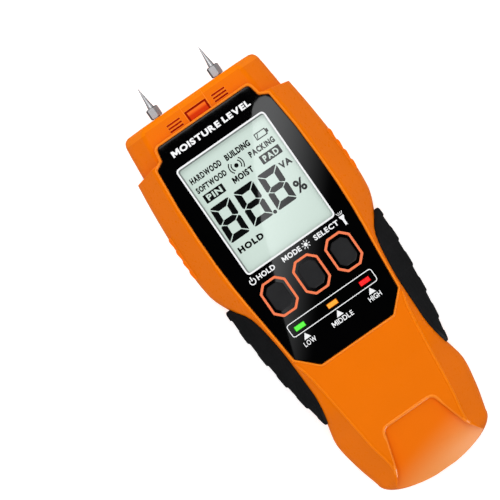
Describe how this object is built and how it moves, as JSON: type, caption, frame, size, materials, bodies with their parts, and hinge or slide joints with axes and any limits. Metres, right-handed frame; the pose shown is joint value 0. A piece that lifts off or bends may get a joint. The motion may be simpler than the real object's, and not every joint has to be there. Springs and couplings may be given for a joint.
{
  "type": "moisture meter",
  "caption": "Handheld orange and black moisture meter with test pins, digital display, keys, level lights, side grips, back pad, battery door and a pull-off cap.",
  "frame": {"origin": "on the flat back face that the meter lies on, on its centreline, halfway along the housing", "axes": "+Y from the bottom end towards the pins, +X to the right seen from the front, +Z out of the display"},
  "size_m": [0.0748, 0.2888, 0.0333],
  "materials": {
    "orange_abs": "satin moulded orange plastic",
    "grip_rubber": "matt black overmoulded rubber",
    "panel_black": "glossy black acrylic panel with white and orange prints",
    "key_rubber": "matt dark grey silicone",
    "display_glass": "pale green-grey liquid crystal display under a clear window",
    "light_green": "green light pipe",
    "light_amber": "amber light pipe",
    "light_red": "red light pipe",
    "steel": "nickel-plated steel",
    "brass": "machined brass",
    "copper": "copper foil",
    "clear_plastic": "clear polycarbonate",
    "grey_plastic": "moulded inner plastic",
    "white_plastic": "white light guide",
    "pad_grey": "fine-textured dark grey plastic",
    "board_green": "solder-masked circuit board",
    "chip_black": "moulded component black",
    "zebra_rubber": "silicone connector strip",
    "battery_wrap": null,
    "wire_white": "insulated lead",
    "wire_red": "insulated lead",
    "wire_black": "insulated lead"
  },
  "bodies": {
    "meter": {"back_shell": "orange_abs", "battery_1": "battery_wrap", "battery_2": "battery_wrap", "battery_3": "battery_wrap", "battery_spring_1": "steel", "battery_spring_2": "steel", "battery_spring_3": "steel", "battery_tray": "grey_plastic", "board_screw_1": "steel", "board_screw_2": "steel", "board_screw_3": "steel", "buzzer": "chip_black", "case_screw_1": "steel", "case_screw_2": "steel", "case_screw_3": "steel", "case_screw_4": "steel", "contact_plate_bottom": "steel", "contact_plate_top": "steel", "controller_chip": "chip_black", "display_backlight": "white_plastic", "display_frame": "grey_plastic", "display_glass": "display_glass", "front_panel": "panel_black", "front_shell": "orange_abs", "grip_left": "grip_rubber", "grip_right": "grip_rubber", "light_high": "light_red", "light_low": "light_green", "light_middle": "light_amber", "main_board": "board_green", "pin_block": "grey_plastic", "pin_left": "steel", "pin_right": "steel", "pin_socket_left": "brass", "pin_socket_right": "brass", "sensor_electrode": "copper", "sensor_pad": "pad_grey", "switch_mode": "chip_black", "switch_power": "chip_black", "switch_select": "chip_black", "torch_led": "clear_plastic", "torch_lens": "clear_plastic", "wire_battery_black": "wire_black", "wire_battery_red": "wire_red", "wire_pin_left": "wire_white", "wire_pin_right": "wire_white", "wire_sensor": "wire_white", "wire_torch": "wire_white", "zebra_strip": "zebra_rubber"},
    "key_power": {"key_power": "key_rubber"},
    "key_mode": {"key_mode": "key_rubber"},
    "key_select": {"key_select": "key_rubber"},
    "battery_door": {"battery_door": "orange_abs"},
    "cap": {"cap": "orange_abs"}
  },
  "joints": [
    {"name": "power_press", "type": "slide", "parent": "meter", "child": "key_power", "axis": [0, 0, -1], "range_m": [0, 0.0008], "stiffness_N_per_m": 1200},
    {"name": "mode_press", "type": "slide", "parent": "meter", "child": "key_mode", "axis": [0, 0, -1], "range_m": [0, 0.0008], "stiffness_N_per_m": 1200},
    {"name": "select_press", "type": "slide", "parent": "meter", "child": "key_select", "axis": [0, 0, -1], "range_m": [0, 0.0008], "stiffness_N_per_m": 1200},
    {"name": "battery_door_slide", "type": "slide", "parent": "meter", "child": "battery_door", "axis": [0, -1, 0], "range_m": [0, 0.066]},
    {"name": "cap_slide", "type": "slide", "parent": "meter", "child": "cap", "axis": [0, -1, 0], "range_m": [0, 0.095]}
  ]
}
